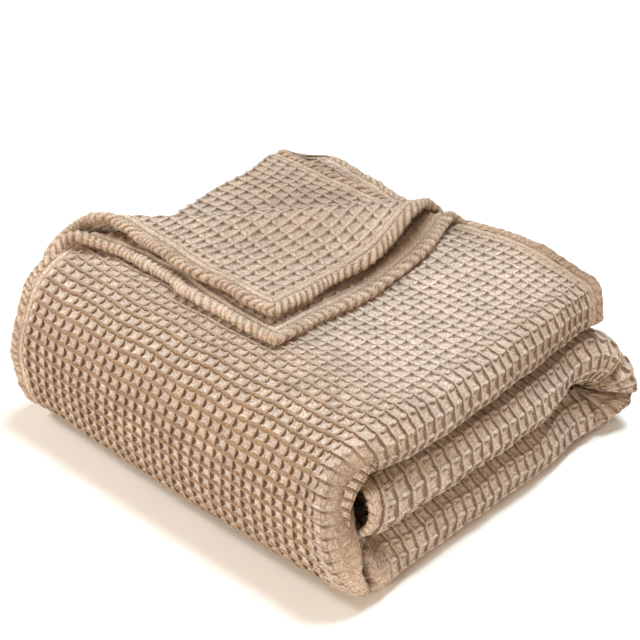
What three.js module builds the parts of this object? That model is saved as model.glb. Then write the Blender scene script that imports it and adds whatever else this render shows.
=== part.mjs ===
// A throw of waffle fleece, folded into a flat stack with one corner turned back over its top.
// Millimetres, +Z up. The near side, with its three rounded folds, is +X, and the big bend is -Y.
//
// The cloth is one sheet. Across its width it is folded in half twice into a strip of four sheets, and
// along its length that strip is folded in three. Every point of the flat cloth, across and along, is
// carried through those folds, and the sheet's two faces lie half its thickness to either side.

import * as THREE from 'three';

// Driving dimensions
const sheetThick = 6; // lofty waffle fleece, from ridge to ridge
const sheetPitch = 11; // from one sheet of the strip to the next
const levelPitch = 45; // from one level of the folded strip to the next
const nearRound = 152; // x where the rounded folds of the near side begin
const farRound = -176; // x where the rounded fold of the far side begins
const outerHem = -178; // x of the outer sheet's hem on the far side
const secondHem = -188; // x of the second sheet's hem, which shows behind it
const middleRun = 230; // flat runs of the strip in its three levels
const bottomRun = 236;
const topRun = 240;

const stripDepth = 3 * sheetPitch;
const outerRise = 2 * levelPitch + stripDepth; // outer sheet, from the bottom level to the top one
const toRadians = THREE.MathUtils.degToRad;
const cosDeg = (angle) => Math.cos(toRadians(angle));

// The big bend: it leans out a little low down, then rounds over to the top. The turn of each stretch is
// in degrees, and the radius of the near-upright stretch is what is left of the rise.
const bend = { lowTurn: 78, faceTurn: 17, highTurn: 70, shoulderTurn: 15 };
const lowRadius = 44.5;
const highRadius = 58.5;
const shoulderRadius = 124;
const lowAngle = 180 - bend.lowTurn;
const faceAngle = lowAngle - bend.faceTurn;
const arcRise = lowRadius * (1 + cosDeg(lowAngle))
  + highRadius * (cosDeg(bend.shoulderTurn) - cosDeg(faceAngle))
  + shoulderRadius * (1 - cosDeg(bend.shoulderTurn));
const faceRadius = (outerRise - arcRise) / (cosDeg(faceAngle) - cosDeg(lowAngle));

// Across the width, from the outer sheet's hem: a run is straight and an arc turns inwards, in degrees.
const acrossRows = [
  { part: 'outer sheet', run: nearRound - outerHem, steps: 10 },
  { part: 'outer near fold', radius: stripDepth / 2, turn: 180, steps: 5 },
  { part: 'lowest sheet', run: nearRound - farRound, steps: 5 },
  { part: 'far fold', radius: sheetPitch / 2, turn: 180, steps: 3 },
  { part: 'third sheet', run: nearRound - farRound, steps: 5 },
  { part: 'inner near fold', radius: sheetPitch / 2, turn: -180, steps: 3 },
  { part: 'second sheet', run: nearRound - secondHem, steps: 10 },
];

// Along the length, the way the outer sheet goes from its hidden end to its end on top.
const alongRows = [
  { part: 'middle level', run: middleRun, steps: 5 },
  { part: 'right bend', radius: (levelPitch + stripDepth) / 2, turn: 180, steps: 7 },
  { part: 'bottom level', run: bottomRun, steps: 5 },
  { part: 'low part of the big bend', radius: lowRadius, turn: bend.lowTurn, steps: 3 },
  { part: 'face of the big bend', radius: faceRadius, turn: bend.faceTurn, steps: 1 },
  { part: 'high part of the big bend', radius: highRadius, turn: bend.highTurn, steps: 4 },
  { part: 'shoulder', radius: shoulderRadius, turn: bend.shoulderTurn, steps: 2 },
  { part: 'top level', run: topRun, steps: 8 },
];

// How far the four sheets' ends reach on top, from the outer sheet to the lowest. It is full at the far side
// and none at the near folds, and the sheets slide past each other over the last stretch of the strip.
const endReach = [0, 10, 12, 46];
const endFade = 150;

// The turned-back corner: a slanting crease, a loose roll, and the flap sloping down onto the top. The
// flap slews as it settles, so its corner and its hems do not lie quite where a plain fold puts them.
const flap = { creaseAngle: 38, creaseDistance: 172, rollRadius: 6, slope: 9, layRadius: 120, restGap: 8 };
const flapSheets = new Set(['outer sheet', 'second sheet']);
const flapParts = new Set(['shoulder', 'top level']);
const landing = { cornerIn: 219, cornerBack: 249, turn: 45, settle: 125 };

// Where the stack is uneven: the cloth at a place is pushed, and the push fades over a spread around it.
const unevenRows = [
  { at: [170, 222, 44], over: [60, 34, 30], push: [-20, 0, 0] }, // near edge drawn in at the right bend
  { at: [168, 262, 38], over: [50, 30, 60], push: [8, 10, 0] }, // near corner of the right bend
  { at: [174, -8, 42], over: [30, 18, 26], push: [-9, 0, 0] }, // crease beside the big bend
  { at: [172, -28, 12], over: [40, 30, 26], push: [8, 0, 0] }, // foot of the big bend bulging out
  { at: [168, 205, 110], over: [70, 130, 30], push: [-13, 0, 0] }, // near fold of the top drawn in
  { at: [168, 270, 108], over: [60, 60, 40], push: [-8, -17, 0] }, // near corner of the top drawn back
  { at: [80, 262, 118], over: [70, 70, 40], push: [0, 7, 0] }, // end of the top bowed out
  { at: [60, 130, 126], over: [90, 80, 60], push: [0, 0, -4] }, // top sagging in its middle
  { at: [-178, 235, 112], over: [120, 95, 48], push: [-14, 4, 20] }, // far corner standing up
  { at: [-182, 4, 126], over: [60, 45, 45], push: [-7, 0, 6] }, // rim lifted beside the flap
  { at: [0, 200, 146], over: [60, 60, 24], push: [0, 0, 4] }, // roll of the flap open at its end
  { at: [60, 262, 38], over: [150, 50, 40], push: [0, 8, -3] }, // right bend slumped
  { at: [-10, -30, 10], over: [150, 60, 45], push: [0, -5, 0] }, // big bend bowed out along its foot
  { at: [-178, 112, 10], over: [60, 120, 30], push: [-6, 0, 0] }, // bottom bowed out on the far side
];
const floorFade = 40; // no upward or downward push at the surface, full push this far above it

// A line of runs and arcs in a plane, walked from a start and a heading, with its right-hand turns positive.
function walk(rows, startX, startY, turnSense) {
  const pieces = [];
  let x = startX;
  let y = startY;
  let heading = 0;
  let reached = 0;
  for (const row of rows) {
    const turn = toRadians(row.turn ?? 0) * -turnSense;
    const length = row.run ?? row.radius * Math.abs(turn);
    pieces.push({ ...row, x, y, heading, turn, length, start: reached });
    const chord = turn === 0 ? length : (2 * length * Math.sin(turn / 2)) / turn;
    x += chord * Math.cos(heading + turn / 2);
    y += chord * Math.sin(heading + turn / 2);
    heading += turn;
    reached += length;
  }
  return { pieces, length: reached };
}

// The place and heading at a distance along such a line. Past its ends it goes straight on.
function placeOn(line, distance) {
  const piece = line.pieces.findLast((each) => distance >= each.start) ?? line.pieces[0];
  const into = distance - piece.start;
  const turned = piece.length === 0 ? 0 : (piece.turn * into) / piece.length;
  const chord = turned === 0 ? into : (2 * into * Math.sin(turned / 2)) / turned;
  return {
    part: piece.part,
    x: piece.x + chord * Math.cos(piece.heading + turned / 2),
    y: piece.y + chord * Math.sin(piece.heading + turned / 2),
    heading: piece.heading + turned,
  };
}

const outerBottom = sheetThick / 2; // the outer sheet's middle, where it lies on the surface
const middleOuter = outerBottom + levelPitch + stripDepth;
const across = walk(acrossRows, outerHem, 0, -1); // x, and depth below the outer sheet
const along = walk(alongRows, 0, middleOuter, 1); // y and z
const topEnd = placeOn(along, along.length).x;

// The profile of the turned-back flap at some depth below the outer sheet: distance past the crease
// towards the corner, and height above the outer sheet.
function flapLine(depth) {
  const drop = 2 * flap.rollRadius - flap.restGap;
  const arcDrop = (flap.layRadius + flap.rollRadius) * (1 - cosDeg(flap.slope));
  const slopeRun = (drop - arcDrop) / Math.sin(toRadians(flap.slope));
  const rows = [
    { part: 'roll', radius: flap.rollRadius + depth, turn: -180 - flap.slope },
    { part: 'slope', run: slopeRun },
    { part: 'lay', radius: flap.layRadius - depth, turn: flap.slope },
    { part: 'rest', run: 1 },
  ];
  return walk(rows, 0, -depth, 1);
}

const creaseCos = cosDeg(flap.creaseAngle);
const creaseSin = Math.sin(toRadians(flap.creaseAngle));
const pastCrease = (x, y) => flap.creaseDistance - (x - outerHem) * creaseCos - (topEnd - y) * creaseSin;

// From where a plain fold puts a point of the flap to where the settled flap has it, in and back.
function slewOf(point, past, depth) {
  const inward = point.x - outerHem;
  const back = topEnd - point.y;
  const [turnCos, turnSin] = [cosDeg(landing.turn), Math.sin(toRadians(landing.turn))];
  const mirrored = 2 * (inward * turnCos + back * turnSin) + Math.PI * depth;
  const plain = 2 * past - Math.PI * (flap.rollRadius + depth);
  return {
    x: landing.cornerIn - mirrored * turnCos - plain * creaseCos,
    y: landing.cornerBack - mirrored * turnSin - plain * creaseSin,
  };
}

// Carries a point of a flat upper sheet over the crease.
const flapLines = new Map();
function turnBack(point, depth) {
  const past = pastCrease(point.x, point.y);
  if (past <= 0) return;
  if (!flapLines.has(depth)) flapLines.set(depth, flapLine(depth));
  const place = placeOn(flapLines.get(depth), past);
  const settled = THREE.MathUtils.smoothstep(past, 0, landing.settle);
  const slew = slewOf(point, past, depth);
  point.x += (past - place.x) * creaseCos + slew.x * settled;
  point.y -= (past - place.x) * creaseSin + slew.y * settled;
  point.z += place.y + depth;
}

// Pushes a point by the uneven places around it.
function unsettle(point) {
  const settledAt = point.clone();
  const lift = THREE.MathUtils.smoothstep(point.z, sheetThick, floorFade);
  for (const { at, over, push } of unevenRows) {
    const away = settledAt.clone().sub(new THREE.Vector3(...at)).divide(new THREE.Vector3(...over));
    const share = Math.exp(-away.lengthSq());
    point.add(new THREE.Vector3(push[0], push[1], push[2] * lift).multiplyScalar(share));
  }
}

// How far the end of the cloth reaches at a place across the strip, where y is the depth.
function reachAt(place) {
  const towardsFar = THREE.MathUtils.clamp((nearRound - place.x) / (nearRound - outerHem), 0, 1);
  const sheet = THREE.MathUtils.clamp(place.y / sheetPitch, 0, endReach.length - 1);
  const above = Math.min(Math.floor(sheet), endReach.length - 2);
  return THREE.MathUtils.lerp(endReach[above], endReach[above + 1], sheet - above) * towardsFar;
}

// The middle of the sheet at a place across and along the flat cloth.
function clothAt(u, v) {
  const a = placeOn(across, u);
  const slide = reachAt(a) * THREE.MathUtils.smoothstep(v, along.length - endFade, along.length);
  const b = placeOn(along, v + slide);
  const point = new THREE.Vector3(a.x, b.x + a.y * Math.sin(b.heading), b.y - a.y * Math.cos(b.heading));
  if (flapSheets.has(a.part) && flapParts.has(b.part)) turnBack(point, a.y);
  unsettle(point);
  return point;
}

// The outward side of the sheet there, from four points close around it.
const nearby = 0.5;
function facingAt(u, v) {
  const acrossStep = clothAt(u + nearby, v).sub(clothAt(u - nearby, v));
  const alongStep = clothAt(u, v + nearby).sub(clothAt(u, v - nearby));
  return acrossStep.cross(alongStep).normalize();
}

// Distances along a line at which the net of the cloth has a thread.
function netLines(line) {
  const at = [0];
  for (const piece of line.pieces) {
    for (let i = 1; i <= piece.steps; i += 1) at.push(piece.start + (piece.length * i) / piece.steps);
  }
  return at;
}

// The net over the flat cloth: a cell is split finer where the flap's roll crosses it, and its plain
// neighbours take up the extra points on their sides.
const fine = 3;
const rollBand = { before: 12, after: 24 };
const uLines = netLines(across);
const vLines = netLines(along);

const cellAcross = (i) => placeOn(across, (uLines[i] + uLines[i + 1]) / 2);
const cellAlong = (j) => placeOn(along, (vLines[j] + vLines[j + 1]) / 2);

function crossesRoll(i, j) {
  const a = cellAcross(i);
  if (!flapSheets.has(a.part) || !flapParts.has(cellAlong(j).part)) return false;
  const rollLength = Math.PI * (flap.rollRadius + a.y);
  const corners = [];
  for (const u of [uLines[i], uLines[i + 1]]) {
    for (const v of [vLines[j], vLines[j + 1]]) {
      corners.push(pastCrease(placeOn(across, u).x, placeOn(along, v).x));
    }
  }
  return Math.max(...corners) > -rollBand.before && Math.min(...corners) < rollLength + rollBand.after;
}

function clothNet() {
  const nodes = [];
  const triangles = [];
  const numberOf = new Map();
  const lastU = uLines.length - 1;
  const lastV = vLines.length - 1;
  const between = (lines, k) => {
    const whole = Math.min(Math.floor(k / fine), lines.length - 2);
    return THREE.MathUtils.lerp(lines[whole], lines[whole + 1], k / fine - whole);
  };
  const node = (k, m) => {
    const key = `${k} ${m}`;
    if (!numberOf.has(key)) {
      numberOf.set(key, nodes.length);
      nodes.push({ u: between(uLines, k), v: between(vLines, m) });
    }
    return numberOf.get(key);
  };
  const split = [];
  for (let i = 0; i < lastU; i += 1) {
    split.push([]);
    for (let j = 0; j < lastV; j += 1) split[i].push(crossesRoll(i, j));
  }
  const isSplit = (i, j) => split[i]?.[j] ?? false;
  const quad = (k, m, size, rising) => {
    const [p, q, r, s] = [node(k, m), node(k + size, m), node(k + size, m + size), node(k, m + size)];
    if (rising) triangles.push([p, q, r], [p, r, s]);
    else triangles.push([p, q, s], [q, r, s]);
  };
  for (let i = 0; i < lastU; i += 1) {
    const outer = cellAcross(i).part === 'outer sheet'; // its diagonals follow the crease
    for (let j = 0; j < lastV; j += 1) {
      const [k, m] = [i * fine, j * fine];
      if (isSplit(i, j)) {
        for (let n = 0; n < fine * fine; n += 1) quad(k + (n % fine), m + Math.floor(n / fine), 1, outer);
        continue;
      }
      const sides = [
        { open: isSplit(i, j - 1), at: (n) => node(k + n, m) },
        { open: isSplit(i + 1, j), at: (n) => node(k + fine, m + n) },
        { open: isSplit(i, j + 1), at: (n) => node(k + fine - n, m + fine) },
        { open: isSplit(i - 1, j), at: (n) => node(k, m + fine - n) },
      ];
      if (!sides.some((side) => side.open)) {
        quad(k, m, fine, outer);
        continue;
      }
      const ring = [];
      for (const side of sides) {
        for (let n = 0; n < fine; n += side.open ? 1 : fine) ring.push(side.at(n));
      }
      const centre = node(k + fine / 2, m + fine / 2);
      ring.forEach((p, n) => triangles.push([centre, p, ring[(n + 1) % ring.length]]));
    }
  }
  return { nodes, triangles };
}

// Edges that only one triangle has, in that triangle's direction: the cloth's own edge.
function rimOf(triangles) {
  const seen = new Set();
  for (const [p, q, r] of triangles) {
    for (const [from, to] of [[p, q], [q, r], [r, p]]) seen.add(`${from} ${to}`);
  }
  const rim = [];
  for (const edge of seen) {
    const [from, to] = edge.split(' ').map(Number);
    if (!seen.has(`${to} ${from}`)) rim.push([from, to]);
  }
  return rim;
}

function clothGeometry() {
  const { nodes, triangles } = clothNet();
  const count = nodes.length;
  const positions = new Float32Array(count * 6);
  nodes.forEach(({ u, v }, n) => {
    const middle = clothAt(u, v);
    const facing = facingAt(u, v).multiplyScalar(sheetThick / 2);
    middle.clone().add(facing).toArray(positions, n * 3);
    middle.clone().sub(facing).toArray(positions, (count + n) * 3);
  });
  const index = [];
  for (const [p, q, r] of triangles) {
    index.push(p, q, r, count + p, count + r, count + q);
  }
  for (const [from, to] of rimOf(triangles)) {
    index.push(to, from, count + from, to, count + from, count + to);
  }
  const geometry = new THREE.BufferGeometry();
  geometry.setAttribute('position', new THREE.BufferAttribute(positions, 3));
  geometry.setIndex(index);
  return geometry;
}

const fleece = new THREE.MeshStandardMaterial({ color: 0xb99e86, roughness: 0.95, metalness: 0 });
const blanket = new THREE.Mesh(clothGeometry(), fleece);
blanket.name = 'blanket';

// The origin is under the middle of the stack, on the surface it lies on.
const bounds = new THREE.Box3().setFromBufferAttribute(blanket.geometry.getAttribute('position'));
const middle = bounds.getCenter(new THREE.Vector3());
blanket.position.set(-middle.x, -middle.y, -bounds.min.z);

const object = new THREE.Group();
object.add(blanket);

export default object;
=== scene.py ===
import math
from functools import partial

import bpy
import numpy as np
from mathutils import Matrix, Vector


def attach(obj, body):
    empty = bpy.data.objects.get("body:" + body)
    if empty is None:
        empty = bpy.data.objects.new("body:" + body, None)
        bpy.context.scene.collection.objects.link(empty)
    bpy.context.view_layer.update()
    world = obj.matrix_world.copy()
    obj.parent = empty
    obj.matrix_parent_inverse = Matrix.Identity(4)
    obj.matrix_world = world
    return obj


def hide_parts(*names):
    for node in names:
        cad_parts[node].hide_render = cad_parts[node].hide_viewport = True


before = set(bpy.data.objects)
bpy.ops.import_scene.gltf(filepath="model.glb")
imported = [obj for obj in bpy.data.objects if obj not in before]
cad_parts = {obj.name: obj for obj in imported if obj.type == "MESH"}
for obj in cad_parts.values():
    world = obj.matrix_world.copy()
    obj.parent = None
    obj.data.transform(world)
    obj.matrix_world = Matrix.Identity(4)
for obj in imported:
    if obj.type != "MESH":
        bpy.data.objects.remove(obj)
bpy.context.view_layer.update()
mm = 0.001
maths, mapRange, mixer = "ShaderNodeMath", "ShaderNodeMapRange", "ShaderNodeMix"
split, join = "ShaderNodeSeparateXYZ", "ShaderNodeCombineXYZ"
noise, ramp = "ShaderNodeTexNoise", "ShaderNodeValToRGB"


def srgb(code):  # hex colour to the linear values that shaders take
    parts = [int(code[i:i + 2], 16) / 255 for i in (0, 2, 4)]
    return [c / 12.92 if c <= 0.04045 else ((c + 0.055) / 1.055) ** 2.4 for c in parts] + [1.0]


def fill(node, inputs):  # inputs by order or by name, each a value or what is linked
    for name, value in inputs.items() if isinstance(inputs, dict) else enumerate(inputs):
        if isinstance(value, bpy.types.Node):
            value = value.outputs[0]  # a node by itself stands for its first output
        if isinstance(value, bpy.types.NodeSocket):
            node.id_data.links.new(value, node.inputs[name])
        else:
            node.inputs[name].default_value = value
    return node


def addNode(tree, kind, inputs=(), **settings):  # a node with its settings and links
    node = tree.nodes.new(kind)
    for name, value in settings.items():
        setattr(node, name, value)
    return fill(node, inputs)


def addObject(name, data):
    piece = bpy.data.objects.new(name, data)
    bpy.context.collection.objects.link(piece)
    return piece


# The folded cloth, in millimetres, with the same runs and bends as the solid.
# Near is +X, far is -X, and the big bend is -Y.
fold = {
    "thick": 6, "sheetPitch": 11, "levelPitch": 45,
    "nearRound": 152, "farRound": -176, "outerHem": -178, "secondHem": -188,
    "middleRun": 230, "bottomRun": 236, "topRun": 240,
    "lowTurn": 78, "faceTurn": 17, "highTurn": 70, "shoulderTurn": 15,
    "lowRadius": 44.5, "highRadius": 58.5, "shoulderRadius": 124,
    "endReach": (0, 10, 12, 46), "endFade": 150, "floorFade": 40,
    "creaseAngle": 35.5, "creaseDistance": 162,  # crease of the corner that is turned back
    "rollRadius": 6, "slope": 9, "layRadius": 120, "restGap": 8,
    "cornerIn": 219, "cornerBack": 249, "turn": 45, "settle": 125,
    "placeX": 10.48, "placeY": -128.13,  # from the fold's own start to the middle of the stack
}

unevenRows = [  # place, spread and push of each uneven spot
    ((170, 222, 44), (60, 34, 30), (-20, 0, 0)),  # near edge drawn in at the right bend
    ((168, 262, 38), (50, 30, 60), (8, 10, 0)),  # near corner of the right bend
    ((174, -8, 42), (30, 18, 26), (-9, 0, 0)),  # crease beside the big bend
    ((172, -28, 12), (40, 30, 26), (8, 0, 0)),  # foot of the big bend bulging out
    ((168, 205, 110), (70, 130, 30), (-13, 0, 0)),  # near fold of the top drawn in
    ((168, 270, 108), (60, 60, 40), (-8, -17, 0)),  # near corner of the top drawn back
    ((80, 262, 118), (70, 70, 40), (0, 7, 0)),  # end of the top bowed out
    ((60, 130, 126), (90, 80, 60), (0, 0, -4)),  # top sagging in its middle
    ((-178, 235, 112), (120, 95, 48), (-14, 4, 20)),  # far corner standing up
    ((-182, 4, 126), (60, 45, 45), (-7, 0, 6)),  # rim lifted beside the flap
    ((0, 200, 146), (60, 60, 24), (0, 0, 4)),  # roll of the flap open at its end
    ((60, 262, 38), (150, 50, 40), (0, 8, -3)),  # right bend slumped
    ((-10, -30, 10), (150, 60, 45), (0, -5, 0)),  # big bend bowed out along its foot
    ((-178, 112, 10), (60, 120, 30), (-6, 0, 0)),  # bottom bowed out on the far side
]


def smooth(value, low, high):
    t = np.clip((value - low) / (high - low), 0, 1)
    return t * t * (3 - 2 * t)


def between(value, rise, fall):  # comes in softly over the first pair and goes over the second
    return smooth(value, *rise) * (1 - smooth(value, *fall))


def cosSin(degrees):
    return math.cos(math.radians(degrees)), math.sin(math.radians(degrees))


def walk(rows, x, y, turnSense):  # a line of runs and arcs: (part, run or radius, turn in degrees or None)
    heading, reached, steps = 0.0, 0.0, []
    for _, size, turn in rows:
        bend = -turnSense * math.radians(turn or 0)
        length = size if turn is None else size * abs(bend)
        steps.append((x, y, heading, bend, length, reached))
        chord = length if bend == 0 else 2 * length * math.sin(bend / 2) / bend
        x += chord * math.cos(heading + bend / 2)
        y += chord * math.sin(heading + bend / 2)
        heading += bend
        reached += length
    line = dict(zip(("x", "y", "heading", "turn", "length", "start"), np.array(steps, float).T))
    return {**line, "part": [row[0] for row in rows], "total": reached}


def placeOn(line, distance):  # place, heading and row number at a distance along such a line
    row = np.maximum(np.searchsorted(line["start"], distance, side="right") - 1, 0)
    into = distance - line["start"][row]
    turned = line["turn"][row] * into / line["length"][row]
    straight = np.abs(turned) < 1e-9
    safe = np.where(straight, 1e-9, turned)
    chord = np.where(straight, into, 2 * into * np.sin(safe / 2) / safe)
    middle = line["heading"][row] + turned / 2
    x = line["x"][row] + chord * np.cos(middle)
    y = line["y"][row] + chord * np.sin(middle)
    return x, y, line["heading"][row] + turned, row


def layFold():
    f = fold
    pitch, depth = f["sheetPitch"], 3 * f["sheetPitch"]
    low = 180 - f["lowTurn"]
    lowCos, faceCos, shoulderCos = (cosSin(a)[0] for a in (low, low - f["faceTurn"], f["shoulderTurn"]))
    arcRise = f["lowRadius"] * (1 + lowCos) + f["highRadius"] * (shoulderCos - faceCos)
    arcRise += f["shoulderRadius"] * (1 - shoulderCos)
    faceRadius = (2 * f["levelPitch"] + depth - arcRise) / (faceCos - lowCos)
    sheetRun = f["nearRound"] - f["farRound"]
    across = walk([
        ("outer sheet", f["nearRound"] - f["outerHem"], None),
        ("outer near fold", depth / 2, 180),
        ("lowest sheet", sheetRun, None),
        ("far fold", pitch / 2, 180),
        ("third sheet", sheetRun, None),
        ("inner near fold", pitch / 2, -180),
        ("second sheet", f["nearRound"] - f["secondHem"], None),
    ], f["outerHem"], 0, -1)
    along = walk([
        ("middle level", f["middleRun"], None),
        ("right bend", (f["levelPitch"] + depth) / 2, 180),
        ("bottom level", f["bottomRun"], None),
        ("low bend", f["lowRadius"], f["lowTurn"]),
        ("bend face", faceRadius, f["faceTurn"]),
        ("high bend", f["highRadius"], f["highTurn"]),
        ("shoulder", f["shoulderRadius"], f["shoulderTurn"]),
        ("top level", f["topRun"], None),
    ], 0, f["thick"] / 2 + f["levelPitch"] + depth, 1)
    return across, along


def partNumbers(line, *names):
    return [line["part"].index(name) for name in names]


across, along = layFold()
clothWide, clothLong = across["total"], along["total"]
topEnd = float(placeOn(along, np.array([clothLong]))[0][0])
creaseCos, creaseSin = cosSin(fold["creaseAngle"])
flapSheets = partNumbers(across, "outer sheet", "second sheet")
flapParts = partNumbers(along, "shoulder", "top level")
print("flat cloth %.0f x %.0f mm" % (clothWide, clothLong))


def pastCrease(x, y):
    return fold["creaseDistance"] - (x - fold["outerHem"]) * creaseCos - (topEnd - y) * creaseSin


def flapLine(depth):  # section of the flap, square to its crease
    r, slope, lay = fold["rollRadius"], fold["slope"], fold["layRadius"]
    slopeCos, slopeSin = cosSin(slope)
    slopeRun = (2 * r - fold["restGap"] - (lay + r) * (1 - slopeCos)) / slopeSin
    rows = [("roll", r + depth, -180 - slope), ("slope", slopeRun, None), ("lay", lay - depth, slope)]
    return walk(rows + [("rest", 1, None)], 0, -depth, 1)


def turnBack(x, y, z, depth):  # carries points of a flat upper sheet over the crease
    past = np.maximum(pastCrease(x, y), 0)
    lineX, lineY = placeOn(flapLine(depth), past)[:2]
    turnCos, turnSin = cosSin(fold["turn"])
    mirrored = 2 * ((x - fold["outerHem"]) * turnCos + (topEnd - y) * turnSin) + math.pi * depth
    plain = 2 * past - math.pi * (fold["rollRadius"] + depth)
    settled = smooth(past, 0, fold["settle"])
    moved = []
    for corner, crease, turn in (("cornerIn", creaseCos, turnCos), ("cornerBack", creaseSin, turnSin)):
        eased = settled * (fold[corner] - mirrored * turn - plain * crease)
        moved.append((past - lineX) * crease + eased)
    return x + moved[0], y - moved[1], z + lineY + depth


def clothAt(u, v):  # middle of the sheet at distances across and along the flat cloth
    f = fold
    ax, depth, _, rowA = placeOn(across, u)
    towardsFar = np.clip((f["nearRound"] - ax) / (f["nearRound"] - f["outerHem"]), 0, 1)
    reach = np.interp(depth / f["sheetPitch"], range(4), f["endReach"]) * towardsFar
    slid = v + reach * smooth(v, clothLong - f["endFade"], clothLong)
    by, bz, heading, rowB = placeOn(along, slid)
    x, y, z = ax.copy(), by + depth * np.sin(heading), bz - depth * np.cos(heading)
    for sheet, sheetDepth in zip(flapSheets, (0, f["sheetPitch"])):
        on = (rowA == sheet) & np.isin(rowB, flapParts) & (pastCrease(x, y) > 0)
        x[on], y[on], z[on] = turnBack(x[on], y[on], z[on], sheetDepth)
    at = np.stack([x, y, z], -1)
    free = np.ones_like(at)
    free[:, 2] = smooth(z, f["thick"], f["floorFade"])  # nothing lifts what lies on the floor
    point = at.copy()
    for place, spread, push in unevenRows:
        share = np.exp(-(((at - place) / spread) ** 2).sum(-1))
        point += share[:, None] * free * push
    return point + (f["placeX"], f["placeY"], 0)


# Waffle fleece: thin unbroken ridges across the strip, oval beads between them, hollow pockets.
waffle = {
    "cellsAcross": 138, "cellsAlong": 104,  # about 10 mm a cell
    "bendCloser": 0.15, "closerRows": ((560, 600), (770, 810)),  # and closer along the big bend
    "pocketHalf": 1.7, "bowlDeep": 0.2, "thinnest": 0.9,  # half the sheet at a pocket, its hollow floor
    "ridgeHigh": 1.9, "ridgeHalf": 0.13, "ridgeSwell": 0.09, "nearRib": 0.92,  # widths are shares of a cell
    "beadHigh": 2.4, "beadEndHigh": 1.0, "beadHalf": 0.22, "beadEndHalf": 0.08, "beadBlunt": 0.8,
    "topBead": 0.8, "join": 0.08,  # slimmer beads on the smoothed top, and how softly they meet the ribs
    "pulledFlat": 0.62, "lobeFlat": 0.25, "squeezedFlat": 0.6, "flatPile": 0.6,  # where it is pulled flat
    "beadUneven": 0.22, "ridgeUneven": 0.11,  # how much one differs from the next
    "wander": 1.1, "wanderLong": 62.0, "sway": 0.5, "swayLong": 48.0,  # lines that waver, and a slack surface
}
cellU = clothWide / waffle["cellsAcross"]
rulerSteps = 2000
ruler = np.linspace(0, clothLong, rulerSteps + 1)
closer = 1 + waffle["bendCloser"] * between(ruler, *waffle["closerRows"])
rowRuler = np.concatenate([[0], np.cumsum((closer[1:] + closer[:-1]) / 2)])
rowRuler *= waffle["cellsAlong"] / rowRuler[-1]
cellV = clothLong / rulerSteps / rowRuler[1]  # a cell's length away from the bend

zones = {  # on the flat cloth, in millimetres: where a change comes in, and where it goes again
    "nearFold": ((318, 334), (380, 396)),  # the rounded near fold, across
    "top": (-65, 45),  # the smoothed top, along from the start of its level
    "tightLine": (350, 616, 2.64), "tightIn": (2, 20), "tightOut": (725, 755),  # big bend's near edge
    "tightAcross": ((336, 346), (384, 394)),
    "lobeAcross": ((336, 346), (400, 410)), "lobeAlong": ((304, 312), (334, 344)),  # right bend's end
    "squeezed": ((576, 596), (612, 650)),  # lines drawn together at the foot of the bend
}

hem = {
    "outer side": 15.0, "second side": 15.0, "inner end": 7.0, "outer end": 15.0,  # from edge to waffle
    "blend": (0.92, 1.2), "relief": 0.15,  # in shares of that, the change to waffle; waffle left in the hem
    "flat": 1.7, "seamDeep": 0.9, "seamHalf": 1.2, "cordHigh": 1.3, "cordHalf": 1.5,  # strip, grooves, cord
    "rollWide": 9.6, "rollHigh": 8.6, "rollOut": 0.9, "tuck": 2.5,  # padded roll along the edge
    "innerSlim": 0.45, "innerReach": 12.0,  # flatter at the end that is folded inside
    "lump": 6.2, "lumpDeep": 0.34, "lumpHalf": 0.19, "slant": 0.5, "uneven": 0.18, "tuft": 0.1,  # its puckers
    "pinchIn": 0.35, "pinchShade": 0.6, "pinchBare": 0.75,  # a pucker is narrower, less fuzzy and darker with painted shade in its groove
    "drift": 0.8, "driftLong": (9, 14), "shift": 0.7, "shiftLong": (11, 6),  # its wavering
    "calm": 0.7, "calmAlong": (-30, -10), "calmAcross": ((170, 230), (340, 390)),  # top's smooth end
    "corner": 4.0, "step": 1.35, "sides": 12,
}

# Two rows of stitches hold the hem down.
stitch = {
    "rows": (9.4, 14.2), "corner": 2.0, "sink": 0.1, "shadeHalf": 1.1,  # inward from the edge
    "sizes": {"Pitch": 4.4 * mm, "Length": 3.0 * mm, "Thread": 0.9 * mm},
    "colour": "8d6e52", "twist": 0.5 * mm,
}


def hemShare(u, v):  # distance to the nearest edge as a share of that edge's hem
    away = {"outer side": u, "second side": clothWide - u, "inner end": v, "outer end": clothLong - v}
    return np.min([distance / hem[edge] for edge, distance in away.items()], axis=0)


def scatter(i, j, seed):  # a fixed value from -1 to 1 for each cell
    return 2 * np.modf(np.abs(np.sin(i * 12.9898 + j * 78.233 + seed * 37.719) * 43758.5453))[0] - 1


def wavering(u, v, seed):  # a slow wave that never quite repeats
    return (np.sin(u / 1.7 + 1.3 * np.sin(v * 0.9 + seed)) + np.sin(v + 1.1 * np.cos(u * 0.7 + 2 * seed))) / 2


def round01(offset, half):
    return np.sqrt(np.clip(1 - (offset / half) ** 2, 0, 1))


def nearShare(u):  # 1 on the rounded near fold, 0 away from it
    return between(u, *zones["nearFold"])


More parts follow.
